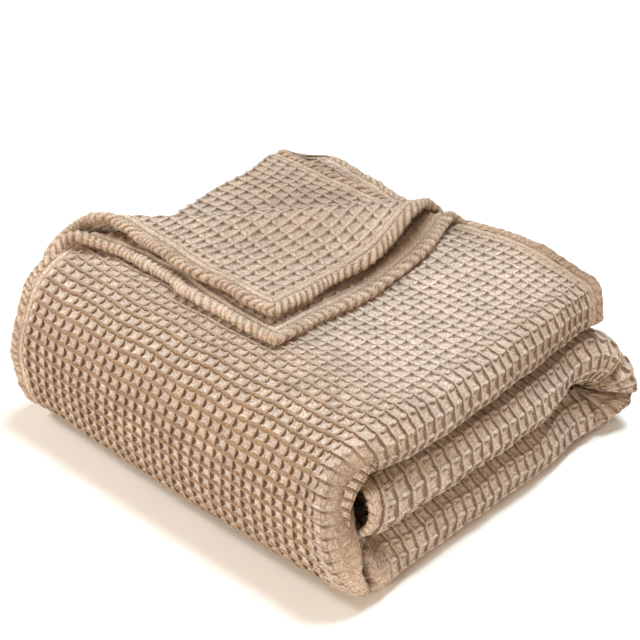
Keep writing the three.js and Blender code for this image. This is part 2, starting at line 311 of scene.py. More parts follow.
def fullness(u, v):  # of beads, ribs and relief, then shares of brown ribs, of painted shade in pockets' corners and of fainter painted shade beside beads
    z, near = zones, nearShare(u)
    onTop = smooth(v - along["start"][-1], *z["top"]) * (1 - near)
    lineU, lineV, slope = z["tightLine"]
    pulled = smooth(v - lineV - slope * (u - lineU), *z["tightIn"]) * (1 - smooth(v, *z["tightOut"]))
    pulled *= between(u, *z["tightAcross"])
    pulled += waffle["lobeFlat"] * between(u, *z["lobeAcross"]) * between(v, *z["lobeAlong"])
    squeezed = near * between(v, *z["squeezed"])
    pulled = np.maximum(pulled, waffle["squeezedFlat"] * squeezed)
    bead = 1 - (1 - waffle["topBead"]) * onTop
    rib = 1 + (waffle["nearRib"] - 1) * near
    brown = (1 - onTop) * (1 - near) + pile["nearBrown"] * near
    cornerShade = onTop + pile["nearCorner"] * near
    faint = onTop + pile["nearFaint"] * near + pile["squeezedFaint"] * squeezed
    return bead, rib, 1 - waffle["pulledFlat"] * pulled, brown, cornerShade, faint


def halfThickness(u, v):
    w = waffle
    rowsU, rowsV = u / cellU, np.interp(v, ruler, rowRuler)
    shareU, shareV = rowsU % 1, rowsV % 1
    offU, offV = np.minimum(shareU, 1 - shareU), np.minimum(shareV, 1 - shareV)
    domeU, domeV = np.sin(np.pi * shareU), np.sin(np.pi * shareV)
    fullBead, fullRib, kept = fullness(u, v)[:3]
    ridge = w["ridgeHigh"] * round01(offV, fullRib * (w["ridgeHalf"] + w["ridgeSwell"] * domeU))
    ridge *= 1 + w["ridgeUneven"] * scatter(np.floor(rowsU), np.round(rowsV), 1)
    swell = domeV ** w["beadBlunt"] * fullBead
    bead = w["beadEndHigh"] + (w["beadHigh"] - w["beadEndHigh"]) * swell
    bead *= round01(offU, w["beadEndHalf"] + (w["beadHalf"] - w["beadEndHalf"]) * swell)
    bead *= 1 + w["beadUneven"] * scatter(np.round(rowsU), np.floor(rowsV), 2)
    relief = kept * np.maximum(ridge, bead) - w["bowlDeep"] * domeU * domeV + w["flatPile"] * (1 - kept)
    share = hemShare(u, v)
    inHem = 1 - smooth(share, *hem["blend"])
    thick = (w["pocketHalf"] + relief) * (1 - inHem) + (hem["flat"] + hem["relief"] * relief) * inHem
    inward = share * hem["outer side"]
    for row in stitch["rows"]:
        thick -= hem["seamDeep"] * np.exp(-((inward - row) / hem["seamHalf"]) ** 2)
    thick += hem["cordHigh"] * np.exp(-((inward - np.mean(stitch["rows"])) / hem["cordHalf"]) ** 2)
    return np.maximum(thick, w["thinnest"])


creaseRows = [  # from and to on the flat cloth, half width, depth at each (a ridge is below zero)
    ((390, 282), (338, 271), 5.0, 11.0, 4.5),  # pleats gathered at the near end of the right bend
    ((390, 308), (338, 310), 5.0, 13.0, 4.5),
    ((390, 336), (340, 346), 5.5, 12.0, 2.5),
    ((380, 695), (346, 606), 3.6, 11.0, 9.0),  # fold between the big bend's edge and the bottom roll
    ((336, 735), (338, 640), 6.0, -2.0, -2.0),  # edge of the big bend
]

bulgeRows = [  # place and spread on the flat cloth, and push
    ((378, 292), (18, 62), (8, 0, 0)),  # slack cloth that closes the right bend's near end
    ((350, 314), (14, 18), (7, 4, 0)),  # its outer corner
    ((325, 250), (36, 26), (0, 2, 6)),  # its upper side, fuller
    ((362, 324), (22, 11), (-5, -2, 0)),  # its lower lobe, which falls in
    ((366, 712), (46, 46), (-20, 0, 0)),  # big bend's near edge, drawn in above its foot
    ((380, 628), (20, 34), (4, 0, 0)),  # and full below
    ((366, 0), (50, 44), (0, -25, 0)),  # end of the middle roll
    ((1238, 1020), (55, 45), (-3, -13, 4)),  # upper sheet of the flap, lifted where its roll opens
    ((175, 1025), (36, 40), (0, -9, -2)),  # and its lower sheet, drawn back there
    ((727, 975), (70, 32), (10, 0, 0)),  # far edge, drawn in beside its corner
    ((727, 895), (70, 30), (-6, 0, 1)),  # and out again
]

shadeAndBrownRows = [  # place and spread on the flat cloth, and how much darker brown is laid there; in the gaps, hollows and shaded parts it is painted shade
    ((362, 324), (22, 11), 0.7),  # painted shade on the lower lobe of the right bend's end, which falls in
    ((374, 300), (26, 46), 0.5),  # painted shade over the whole of that end
    ((362, 690), (22, 56), 0.75),  # big bend's near edge
    ((356, 970), (44, 90), 0.3),  # top roll, towards its end
    ((300, 1028), (110, 28), 0.6),  # end hem of the top
    ((640, 1000), (120, 14), 0.6),  # painted shade on the lowest sheet, under the third
    ((20, 802), (12, 34), 1.0),  # painted shade inside the roll at the shoulder
    ((125, 1004), (80, 14), 1.0),  # painted shade between the flap's two sheets
    ((24, 900), (10, 110), 0.7),
    ((150, 765), (200, 48), 0.26),  # painted shade on the shoulder below the flap
    ((1310, 950), (130, 110), 0.4),  # flap
    ((800, 970), (130, 90), 0.42),  # and the sheet under it
]

farEnd = {  # far corner, where the third sheet is drawn back from the lowest
    "from": 709, "to": 727, "spread": (95, 70), "lowest": (0, -1, 1), "third": (-5, -22, 2),
}

pile = {
    "tufts": (1.5 * mm, 0.6), "patches": (17 * mm, 0.5),  # size and roughness of clumps and brushed patches
    "tuftBump": (0.7, 0.9 * mm), "waffleBump": (0.8, 2.0 * mm),  # strength and depth
    "pocket": "cdb8a8", "slope": "b29680", "crest": "cbb59d", "hem": "d6c0ab",  # by height on the waffle, the darker slopes partly painted shade
    "root": "50341f", "tip": "e2d5c8",  # painted shade on a bead's side away from the light, and painted highlight on the side towards it
    "shadeFall": (0.04, 0.75, 0, 0.9), "highlightFall": (-0.05, -0.7, 0, 0.5),  # between which slopes, how much
    "golden": "8a6440", "seamShade": 0.65,  # warm brown laid with the painted shade of creases and gaps and with the darker rows, and painted shade along the seam grooves
    # the pale ribs and pale pockets are painted highlights, in the tip colour
    "tan": "957657", "tanBead": 0.28, "tanRib": 0.85, "ribHighlight": 0.75, "pocketHighlight": 0.5, "pocketTop": 0.25,
    # the ways the painted shade falls, in the world: away from the key light, and ways of their own on the
    # top and on the near fold
    "shadeWay": (0.75, 0.45, -0.12), "topShadeWay": (0.69, -0.72, 0), "nearShadeWay": (0.2, -0.75, -0.6),
    "topFacing": (0.45, 0.9), "leastLean": 0.2,
    "shadeReach": 0.11, "topEase": 0.5, "nearReach": 1.7,  # in cells, less on top, more on the near fold
    "creaseFull": 8.0, "creaseSharp": 1.3, "creaseShade": 0.9,  # depth of a crease that takes its full painted shade, where its pile also parts
    "corner": (0.9, 0.3, 0, 1), "cornerFaint": 0.7,  # painted shade in a pocket's corner, and fainter painted shade beside the beads there
    "nearCorner": 0.5, "nearBrown": 0.35, "nearFaint": 0.25, "squeezedFaint": 0.7,
    "speckle": (0.36, 0.62, 0.52, 0), "patchTone": (0.3, 0.7, 0.88, 1.1),  # likewise for tufts and patches
    "finish": {"Roughness": 0.95, "IOR": 1.45, "Specular IOR Level": 0.15, "Sheen Weight": 0.3,
               "Sheen Roughness": 0.5, "Sheen Tint": srgb("f4e6da")},
}


def spot(u, v, place, spread):  # 1 at a place on the flat cloth, fading over its spread
    return np.exp(-((u - place[0]) / spread[0]) ** 2 - ((v - place[1]) / spread[1]) ** 2)


def pressCreases(u, v, facing):  # how the main creases move the sheet, and the share of painted shade in creases, gaps and hollows, with the darker rows
    moved, opened = np.zeros((len(u), 3)), np.zeros(len(u))
    for (u0, v0), (u1, v1), half, deep0, deep1 in creaseRows:
        wayU, wayV = u1 - u0, v1 - v0
        share = np.clip(((u - u0) * wayU + (v - v0) * wayV) / (wayU ** 2 + wayV ** 2), 0, 1)
        apart = np.hypot(u - u0 - share * wayU, v - v0 - share * wayV)
        trough = np.exp(-(apart / half) ** 2) * (deep0 + (deep1 - deep0) * share)
        moved -= facing * trough[:, None]
        opened = np.maximum(opened, np.clip(trough / pile["creaseFull"], 0, 1) ** pile["creaseSharp"])
    for place, spread, push in bulgeRows:
        moved += spot(u, v, place, spread)[:, None] * push
    for place, spread, brown in shadeAndBrownRows:
        opened = np.maximum(opened, brown * spot(u, v, place, spread))
    share = spot(u, v, (farEnd["to"], clothLong), farEnd["spread"])[:, None]
    third = smooth(u, farEnd["from"], farEnd["to"])[:, None]
    moved += share * (third * farEnd["third"] + (1 - third) * farEnd["lowest"])
    return moved, opened


def looseCloth(u, v):  # the sheet's middle with the small unevenness of soft cloth
    c, wander = 2 * np.pi / waffle["wanderLong"], waffle["wander"]
    return clothAt(u + wander * wavering(u * c, v * c, 1), v + wander * wavering(v * c, u * c, 2))


def looseWithFacing(u, v, step=0.5):  # that middle with its creases, the way it faces, and the way and share of painted shade on it
    side = looseCloth(u + step, v) - looseCloth(u - step, v)
    onward = looseCloth(u, v + step) - looseCloth(u, v - step)
    facing = np.cross(side, onward)
    facing /= np.linalg.norm(facing, axis=1)[:, None]
    c = 2 * np.pi / waffle["swayLong"]
    middle = looseCloth(u, v) + facing * (waffle["sway"] * wavering(u * c, v * c, 3))[:, None]
    moved, opened = pressCreases(u, v, facing)
    level, near = smooth(np.abs(facing[:, 2]), *pile["topFacing"]), nearShare(u)
    shadeWay = np.tile(pile["shadeWay"], (len(u), 1))
    for share, way in ((level, "topShadeWay"), (near, "nearShadeWay")):
        shadeWay += share[:, None] * (pile[way] - shadeWay)
    lean = np.stack([(way * shadeWay).sum(1) / np.linalg.norm(way, axis=1) for way in (side, onward)], -1)
    reach = (1 - pile["topEase"] * np.clip(facing[:, 2], 0, 1)) * (1 + (pile["nearReach"] - 1) * near)
    lean *= (reach / np.maximum(np.linalg.norm(lean, axis=1), pile["leastLean"]))[:, None]
    return middle + moved, facing, np.column_stack([lean, pile["creaseShade"] * opened])


# The net: blocks of two cells by two, fine where a face shows and plain where it is folded away.
net = {
    "blockCells": 2, "steps": (0, 0.14, 0.28, 0.72, 0.86),  # where it cuts a visible cell
    "bend": 15, "nearFold": 8, "farFold": 3, "farFoldOutside": 6,  # how far it stays fine past each
    "underFlap": 14, "flap": 14, "lifted": 8, "edge": 21, "end": 60, "farHalf": 20,
    "rimOut": 0.8, "rimStep": 5,  # rounded edge between the two faces
    "lowest": 0.15,  # pressed flat where it lies on the surface
}
blockCells = net["blockCells"]
fine = blockCells * len(net["steps"])
blocksU, blocksV = waffle["cellsAcross"] // blockCells, waffle["cellsAlong"] // blockCells


def netRows(number):  # the net's own numbers as cells
    steps = np.array(net["steps"])
    return number // len(steps) + steps[number % len(steps)]


def alongAt(rows):
    return np.interp(rows, rowRuler, ruler)


def shownBlocks():  # blocks that show their front, and blocks that show their back
    i, j = np.mgrid[:blocksU, :blocksV].reshape(2, -1)
    u, v = (i + 0.5) * blockCells * cellU, alongAt((j + 0.5) * blockCells)
    ax, _, _, rowA = placeOn(across, u)
    by, _, _, rowB = placeOn(along, v)
    past = pastCrease(ax, by)
    sheets = (name + " sheet" for name in ("outer", "lowest", "third", "second"))
    outer, lowest, third, second = partNumbers(across, *sheets)
    rightBend, lowBend, shoulder, top = partNumbers(along, "right bend", "low bend", "shoulder", "top level")
    onTop, outside = rowB == top, v > along["start"][lowBend] - net["bend"]
    folds = []
    margins = (net["nearFold"], np.where(outside, net["farFoldOutside"], net["farFold"]))
    for row, margin in zip(partNumbers(across, "outer near fold", "far fold"), margins):
        half = across["length"][row] / 2
        folds.append(np.abs(u - across["start"][row] - half) < half + margin)
    atEnd = v > clothLong - net["end"]
    front = (rowA == outer) & (outside & (past < net["underFlap"]) | (rowB == rightBend))
    front |= folds[0] | folds[1]
    front |= (rowA == second) & (onTop | (rowB == shoulder)) & (past > -net["flap"])
    front |= (rowA == third) & onTop & (past > 0)
    back = (rowA == outer) & onTop & (past > -net["lifted"])
    back &= (u < net["edge"]) | (v > clothLong - net["edge"])
    back |= (rowA == lowest) & atEnd & (ax < net["farHalf"])
    back |= folds[1] & atEnd
    back |= (u > clothWide - net["edge"]) & outside
    return front.reshape(blocksU, blocksV), back.reshape(blocksU, blocksV)


def buildNet():  # blocks of quads, and fans of triangles that join plain blocks to fine ones
    shown = shownBlocks()
    rimFine = shown[0] | shown[1]
    square = ((0, 0), (1, 0), (1, 1), (0, 1))
    quads, fans = [], []
    for side, isFine in enumerate(shown):
        around = np.pad(isFine, 1)
        for i, j in np.ndindex(blocksU, blocksV):
            k, m = i * fine, j * fine
            if isFine[i, j]:
                ks, ms = np.mgrid[k:k + fine, m:m + fine].reshape(2, -1)
                quads.append((side, np.stack([np.stack([ks + a, ms + b], -1) for a, b in square], 1)))
                continue
            beside = ((i + 1, j, j == 0), (i + 2, j + 1, i == blocksU - 1),
                      (i + 1, j + 2, j == blocksV - 1), (i, j + 1, i == 0))
            opened = [around[a, b] or (last and rimFine[i, j]) for a, b, last in beside]
            corners = [(k + a * fine, m + b * fine) for a, b in square]
            if not any(opened):
                quads.append((side, np.array([corners])))
                continue
            ring = []
            for (k0, m0), (k1, m1), isOpen in zip(corners, corners[1:] + corners[:1], opened):
                count = fine if isOpen else 1
                ring += [(k0 + (k1 - k0) * t // count, m0 + (m1 - m0) * t // count) for t in range(count)]
            centre = (k + fine // 2, m + fine // 2)
            fans.append((side, np.array([(centre, *pair) for pair in zip(ring, ring[1:] + ring[:1])])))
    return quads + fans


def rimOf(faces):  # directed edges that only one face has
    seen = {(here, face[(n + 1) % len(face)]) for face in faces for n, here in enumerate(face)}
    return [(a, b) for a, b in seen if (b, a) not in seen]


def makeCloth():
    blocks = buildNet()
    number = np.full((2, blocksU * fine + 1, blocksV * fine + 1), -1, int)
    for side, block in blocks:
        number[side, block[..., 0], block[..., 1]] = 0
    where = np.argwhere(number == 0)
    number[tuple(where.T)] = np.arange(len(where))
    u = np.clip(netRows(where[:, 1]) * cellU, hem["tuck"], clothWide - hem["tuck"])  # its edge is in the roll
    v = np.clip(alongAt(netRows(where[:, 2])), hem["tuck"], clothLong - hem["tuck"])
    middle, facing, lean = looseWithFacing(u, v)
    sign = np.where(where[:, 0] == 0, 1, -1)
    points = middle + facing * (sign * halfThickness(u, v))[:, None]
    faces, fuzz = [], np.zeros(len(points))
    for side, block in blocks:
        ids = number[side, block[..., 0], block[..., 1]]
        faces += [tuple(row if side == 0 else row[::-1]) for row in ids.tolist()]
        if len(block) == fine ** 2:
            fuzz[ids.ravel()] = 1
    rim = rimOf([face for face in faces if where[face[0], 0] == 0])
    edge = np.array(sorted({n for pair in rim for n in pair}))
    edgeAt, step = middle[edge], net["rimStep"]
    inU, inV = (np.clip(at[edge], step, size - step) for at, size in ((u, clothWide), (v, clothLong)))
    out = edgeAt - looseWithFacing(inU, inV)[0]
    rimPoints = edgeAt + net["rimOut"] * out / np.maximum(np.linalg.norm(out, axis=1), 1e-6)[:, None]
    rimAt = {int(node): len(points) + n for n, node in enumerate(edge)}
    backOf = {node: int(number[1, where[node, 1], where[node, 2]]) for node in rimAt}
    for a, b in rim:
        faces.append((b, a, rimAt[a], rimAt[b]))
        faces.append((rimAt[b], rimAt[a], backOf[a], backOf[b]))
    uv = np.column_stack([np.append(u, u[edge]), np.append(v, v[edge])])
    lean = np.vstack([lean, np.zeros((len(edge), 3))])
    fuzz = np.append(fuzz, np.zeros(len(edge)))
    fuzz *= fibre["least"] + (1 - fibre["least"]) * nearShare(uv[:, 0])
    return clothPiece("blanket_cloth", np.vstack([points, rimPoints]), faces, uv, lean, fuzz)


def store(mesh, label, values):  # a value or a vector for each point
    kind, key = ("FLOAT", "value") if values.ndim == 1 else ("FLOAT_VECTOR", "vector")
    mesh.attributes.new(label, kind, "POINT").data.foreach_set(key, values.astype(np.float32).ravel())


def clothPiece(name, points, faces, uv, lean, fuzz):
    points[:, 2] = np.maximum(points[:, 2], net["lowest"])
    mesh = bpy.data.meshes.new(name)
    mesh.from_pydata((points * mm).tolist(), [], faces)
    layer = mesh.uv_layers.new(name="cells")
    loops = np.empty(len(mesh.loops), int)
    mesh.loops.foreach_get("vertex_index", loops)
    u, v = uv.T
    cells = np.column_stack([u / cellU, np.interp(v, ruler, rowRuler)])
    layer.data.foreach_set("uv", cells[loops].astype(np.float32).ravel())
    fulls = np.column_stack(fullness(u, v))
    for label, values in (("lean", lean), ("full", fulls[:, :3]), ("tone", fulls[:, 3:]), ("fuzz", fuzz)):
        store(mesh, label, values)
    mesh.polygons.foreach_set("use_smooth", np.ones(len(mesh.polygons), bool))
    mesh.validate()
    print("%s: %d points, %d triangles" % (name, len(points), sum(len(face) - 2 for face in faces)))
    return addObject(name, mesh)


def hemPath(r):  # once round the edge of the flat cloth, corner radius r: places, way outward, distance
    rows, right, end = [], clothWide - r, clothLong - r
    for n, (u0, v0) in enumerate(((right, r), (right, end), (r, end), (r, r))):
        out, run = math.radians(90 * n - 90), (clothWide, clothLong)[n % 2] - 2 * r
        outCos, outSin = math.cos(out), math.sin(out)
        count = round(run / hem["step"])
        for t in range(count):
            back = run * (1 - t / count)
            rows.append((u0 + r * outCos + back * outSin, v0 + r * outSin - back * outCos, out))
        count = round(r * math.pi / 2 / hem["step"])
        for t in range(count):
            turned = out + math.pi / 2 * t / count
            rows.append((u0 + r * math.cos(turned), v0 + r * math.sin(turned), turned))
    u, v, out = np.array(rows).T
    gone = np.concatenate([[0], np.cumsum(np.hypot(np.diff(u), np.diff(v)))])
    return u, v, out, gone


def makeHem():  # the edge turned in and sewn down: a soft roll, puckered between its stitches
    h = hem
    u, v, out, gone = hemPath(h["corner"])
    count, sides = len(u), h["sides"]
    angle = 2 * np.pi * np.arange(sides) / sides
    lumps = round(gone[-1] / h["lump"])
    drift = h["drift"] * wavering(*(gone / long for long in h["driftLong"]), 4)
    shift = h["shift"] * wavering(*(gone / long for long in h["shiftLong"]), 6)
    lumpAt = gone[:, None] / gone[-1] * lumps + h["slant"] * np.cos(angle) + drift[:, None]
    pinch = np.exp(-((lumpAt - np.round(lumpAt)) / h["lumpHalf"]) ** 2)
    calm = smooth(v - clothLong, *h["calmAlong"]) * between(u, *h["calmAcross"])
    pinch *= 1 - h["calm"] * calm[:, None]
    full = 1 - h["lumpDeep"] * pinch + h["uneven"] * scatter(np.floor(lumpAt) % lumps, 3, 5)
    full += h["tuft"] * scatter(np.arange(count)[:, None], angle, 7)
    slim = 1 - h["innerSlim"] * np.exp(-(v / h["innerReach"]) ** 2)[:, None]
    narrowed = 1 - h["pinchIn"] * h["lumpDeep"] * pinch
    inward = h["rollWide"] / 2 * slim * (1 - np.cos(angle) * narrowed) - h["rollOut"] + shift[:, None]
    high = h["rollHigh"] / 2 * slim * np.sin(angle) * full
    atU = (u[:, None] - inward * np.cos(out)[:, None]).ravel()
    atV = (v[:, None] - inward * np.sin(out)[:, None]).ravel()
    middle, facing, lean = looseWithFacing(atU, atV)
    points = middle + facing * high.ravel()[:, None]
    # painted shade in each pucker, with the cloth's painted shade of creases and gaps
    lean = np.column_stack([0 * lean[:, :2], h["pinchShade"] * pinch.ravel() + lean[:, 2]])
    number = np.arange(count * sides).reshape(count, sides)
    on, over = np.roll(number, -1, 0), np.roll(number, -1, 1)
    faces = np.stack([number, on, np.roll(on, -1, 1), over], -1).reshape(-1, 4).tolist()
    fuzz = 1 - h["pinchBare"] * pinch.ravel()
    return clothPiece("blanket_hem", points, faces, np.column_stack([atU, atV]), lean, fuzz)


def newMaterial(name, values):  # values that are the same all over go on the shader's own sockets
    material = bpy.data.materials.new(name)
    material.use_nodes = True
    shader = fill(material.node_tree.nodes["Principled BSDF"], values)
    return material, shader, partial(addNode, material.node_tree)


def waffleGroup():  # the waffle's height again, finer than the mesh, from 0 in a pocket to 1 on a bead
    w = waffle
    tree = bpy.data.node_groups.new("waffle_height", "ShaderNodeTree")
    for way, labels in (("INPUT", ("Across", "Along", "Bead", "Rib")), ("OUTPUT", ("Height", "Rib height"))):
        for label in labels:
            tree.interface.new_socket(label, in_out=way, socket_type="NodeSocketFloat")
    add = partial(addNode, tree)
    given = add("NodeGroupInput").outputs
    end, tall = w["beadEndHigh"] / w["beadHigh"], w["ridgeHigh"] / w["beadHigh"]
    cords = (  # bead and rib: which ways they lie, what fills and widens them, then heights and half widths
        ("Along", "Across", given["Bead"], 1.0, 1.0, end, w["beadHalf"], w["beadEndHalf"]),
        ("Across", "Along", 1.0, given["Rib"], tall, tall, w["ridgeHalf"] + w["ridgeSwell"], w["ridgeHalf"]),
    )
    heights = []
    for over, beside, filled, widened, high, endHigh, half, endHalf in cords:
        swell, aside = (add(maths, [given[way], 0.5], operation="PINGPONG") for way in (over, beside))
        for operation, other in (("MULTIPLY", math.pi), ("SINE", 0.0), ("MULTIPLY", filled)):
            swell = add(maths, [swell, other], operation=operation)
        plain = add(maths, [swell, half - endHalf, endHalf], operation="MULTIPLY_ADD")
        wide = add(maths, [plain, widened], operation="MULTIPLY")
        share = add(maths, [aside, wide], operation="DIVIDE")
        squared = add(maths, [share, 2.0], operation="POWER")
        left = add(maths, [1.0, squared], operation="SUBTRACT", use_clamp=True)
        domed = add(maths, [left], operation="SQRT")
        crest = add(maths, [swell, high - endHigh, endHigh], operation="MULTIPLY_ADD")
        heights.append(add(maths, [domed, crest], operation="MULTIPLY"))
    both = add(maths, [*heights, w["join"]], operation="SMOOTH_MAX")
    add("NodeGroupOutput", {"Height": both, "Rib height": heights[1]})
    return tree


def insideHem(add, cellsU, cellsV):  # 0 on the hem and 1 on the waffle, and the share of the way in
    nearest = 9.0  # further in than any hem
    edges = (("outer side", cellsU, cellU, 1, 0), ("second side", cellsU, cellU, -1, waffle["cellsAcross"]),
             ("inner end", cellsV, cellV, 1, 0), ("outer end", cellsV, cellV, -1, waffle["cellsAlong"]))
    for edge, cells, cell, slope, start in edges:
        each = cell / hem[edge]
        share = add(maths, [cells, slope * each, start * each], operation="MULTIPLY_ADD")
        nearest = add(maths, [share, nearest], operation="MINIMUM")
    low, high = hem["blend"]
    inside = add(mapRange, {"Value": nearest, "From Min": low, "From Max": high},
                 interpolation_type="SMOOTHSTEP")
    return inside, nearest


def fleeceMaterial():
    # Polyester coral fleece, knitted with a waffle and brushed. It gives a short matt pile, with painted
    # highlights making the pockets' floors and the crests pale, and painted shade making the beads' sides
    # away from the light, the pockets' corners, the creases, gaps and seams brown.
    material, shader, add = newMaterial("waffle_fleece", pile["finish"])
    cells = add("ShaderNodeUVMap", uv_map="cells")
    lean, full, tone = (add("ShaderNodeAttribute", attribute_name=name).outputs["Vector"]
                        for name in ("lean", "full", "tone"))
    opened, full, tone = (add(split, [stored]).outputs for stored in (lean, full, tone))
    place = add("ShaderNodeTexCoord").outputs["Object"]
    tufts, patches = (add(noise, {"Vector": place, "Scale": 1 / size, "Detail": 2.0, "Roughness": rough})
                      for size, rough in (pile["tufts"], pile["patches"]))

    # the waffle's height here, and a little back and on along the way the painted shade falls
    group, heights = waffleGroup(), []
    for way in (0, -pile["shadeReach"], pile["shadeReach"]):
        moved = add("ShaderNodeVectorMath", [lean, (way, way, 0), cells], operation="MULTIPLY_ADD")
        at = add(split, [moved]).outputs
        given = {"Across": at["X"], "Along": at["Y"], "Bead": full["X"], "Rib": full["Y"]}
        heights.append(add("ShaderNodeGroup", given, node_tree=group).outputs)
    flat = add(split, [cells]).outputs
    waffled, wayIn = insideHem(add, flat["X"], flat["Y"])
    inside = add(maths, [waffled, full["Z"]], operation="MULTIPLY")
    height, ribHeight = (add(maths, [heights[0][name], inside], operation="MULTIPLY")
                         for name in ("Height", "Rib height"))
    falls = [add(maths, [heights[1][name], heights[2][name]], operation="SUBTRACT")
             for name in ("Height", "Rib height")]
    fall = add(maths, falls, operation="MAXIMUM")
    fallInside = add(maths, [fall, inside], operation="MULTIPLY")

    # colour by height, with tan ribs and painted highlights on the pockets on the big bend, painted
    # highlights on the ribs elsewhere, and darker slopes that are partly painted shade
    byHeight = add(ramp, [height])
    steps = byHeight.color_ramp.elements
    steps[0].color, steps[1].color = srgb(pile["pocket"]), srgb(pile["crest"])
    for where, code in ((0.12, "pocket"), (0.35, "slope"), (0.55, "slope"), (0.85, "crest")):
        steps.new(where).color = srgb(pile[code])
    beadTan = add(maths, [height, pile["tanBead"]], operation="MULTIPLY")
    bothTan = add(maths, [ribHeight, pile["tanRib"], beadTan], operation="MULTIPLY_ADD")
    tanned = add(maths, [bothTan, tone["X"]], operation="MULTIPLY", use_clamp=True)
    pale = pile["pocketHighlight"]
    low = add(maths, [height, -pale / pile["pocketTop"], pale], operation="MULTIPLY_ADD", use_clamp=True)
    pocketHighlight = add(maths, [low, tone["X"]], operation="MULTIPLY")
    pale = pile["ribHighlight"]
    notBrown = add(maths, [tone["X"], -pale, pale], operation="MULTIPLY_ADD")
    ribHighlight = add(maths, [height, notBrown], operation="MULTIPLY")
    onHem = add(maths, [1.0, inside], operation="SUBTRACT")

    # painted shade on slopes that face away from the light, in the pockets' corners, in creases, gaps and
    # hollows and along the seams, and painted highlight on slopes that face the light
    ranged, names = [], ("From Min", "From Max", "To Min", "To Max")
    sources = {"shadeFall": fallInside, "highlightFall": fallInside, "speckle": tufts, "patchTone": patches}
    for limits, source in sources.items():
        ranged.append(add(mapRange, {"Value": source, **dict(zip(names, pile[limits]))}))
    shadeSide, highlightSide, speckle, brushed = ranged
    into = 0.0
    for axis in ("X", "Y"):  # how far into a pocket, from the two sides whose painted shade falls into it
        way = add(maths, [opened[axis]], operation="SIGN")
        onward = add(maths, [flat[axis], way], operation="MULTIPLY")
        part = add(maths, [onward], operation="FRACT")
        into = add(maths, [part, into], operation="ADD")
    corner = add(mapRange, {"Value": into, **dict(zip(names, pile["corner"]))},
                 interpolation_type="SMOOTHSTEP")
    sunk = add(maths, [1.0, heights[0]["Height"]], operation="SUBTRACT", use_clamp=True)
    for share in (sunk, tone["Y"], inside):
        corner = add(maths, [corner, share], operation="MULTIPLY")
    strong = add(maths, [tone["Z"], -pile["cornerFaint"], 1.0], operation="MULTIPLY_ADD")
    sideShade = add(maths, [shadeSide, strong], operation="MULTIPLY")
    deep = add(maths, [opened["Z"], 2.0], operation="POWER")
    # painted shade along the seam grooves, at each row of stitches
    seams = add(ramp, [wayIn])
    shades = seams.color_ramp.elements
    shades[0].color = shades[1].color = (0, 0, 0, 1)
    for row in stitch["rows"]:
        for aside, shade in ((-stitch["shadeHalf"], 0), (0, pile["seamShade"]), (stitch["shadeHalf"], 0)):
            shades.new((row + aside) / hem["outer side"]).color = (shade, shade, shade, 1)
    shown = sideShade
    for share in (corner, deep, seams):
        shown = add(maths, [shown, share], operation="MAXIMUM")

    # each share lays its colour over what is there
    colour = byHeight
    for share, code in ((pocketHighlight, "tip"), (tanned, "tan"), (ribHighlight, "tip"), (onHem, "hem"),
                        (opened["Z"], "golden"), (shown, "root"), (highlightSide, "tip"), (speckle, "root")):
        colour = add(mixer, {0: share, 6: colour, 7: srgb(pile[code])}, data_type="RGBA").outputs[2]
    toned = add("ShaderNodeVectorMath", {0: colour, "Scale": brushed}, operation="SCALE")
    below = {}
    for source, (strength, depth) in ((tufts, pile["tuftBump"]), (height, pile["waffleBump"])):
        bump = add("ShaderNodeBump", {"Strength": strength, "Distance": depth, "Height": source, **below})
        below = {"Normal": bump}
    fill(shader, {"Base Color": toned, "Normal": bump})
    return material


# Loose fibres stand out of the pile, most on the hem and the near folds.
fibre = {
    "cloth": {"Density": 170000.0, "Length": 1.7 * mm, "Width": 0.26 * mm, "Tilt": 0.9, "Seed": 3},
    "hem": {"Density": 420000.0, "Length": 2.2 * mm, "Width": 0.28 * mm, "Tilt": 0.9, "Seed": 8},
    "least": 0.4,  # share of the density away from the near folds
    "shortest": 0.45, "longest": 1.3,  # shares of the length
    "pale": "e0d0bf", "brown": "a88a6d", "tintSize": 4 * mm,
    "lowest": 0.1 * mm,  # nothing reaches under the surface it lies on
}


def newTree(name, sizes):  # a Geometry Nodes tree with named inputs for its sizes
    tree = bpy.data.node_groups.new(name, "GeometryNodeTree")
    for way in ("OUTPUT", "INPUT"):
        tree.interface.new_socket("Geometry", in_out=way, socket_type="NodeSocketGeometry")
    for label, size in sizes.items():
        kind = "NodeSocketInt" if isinstance(size, int) else "NodeSocketFloat"
        tree.interface.new_socket(label, in_out="INPUT", socket_type=kind)
    add = partial(addNode, tree)
    return tree, add, add("NodeGroupInput").outputs


def closeTree(add, points, shape, rotation, scale, material):  # the shape on each point, as a plain mesh
    placed = add("GeometryNodeInstanceOnPoints",
                 {"Points": points, "Instance": shape, "Rotation": rotation, "Scale": scale})
    real = add("GeometryNodeRealizeInstances", {"Geometry": placed})
    painted = add("GeometryNodeSetMaterial", {"Geometry": real, "Material": material})
    add("NodeGroupOutput", {"Geometry": painted})


def grow(name, source, tree, sizes):  # runs a tree on a mesh and keeps the result as a plain mesh
    piece = addObject(name, source)
    modifier = piece.modifiers.new(name, "NODES")
    modifier.node_group = tree
    for item in tree.interface.items_tree:
        if item.in_out == "INPUT" and item.name in sizes:
            modifier[item.identifier] = sizes[item.name]
    graph = bpy.context.evaluated_depsgraph_get()
    mesh = bpy.data.meshes.new_from_object(piece.evaluated_get(graph), depsgraph=graph)
    piece.modifiers.remove(modifier)
    piece.data = mesh
    mesh.name = name
    places = np.empty(len(mesh.vertices) * 3, np.float32)
    mesh.vertices.foreach_get("co", places)
    places[2::3] = np.maximum(places[2::3], fibre["lowest"])
    mesh.vertices.foreach_set("co", places)
    print("%s: %d faces" % (name, len(mesh.polygons)))
    return piece


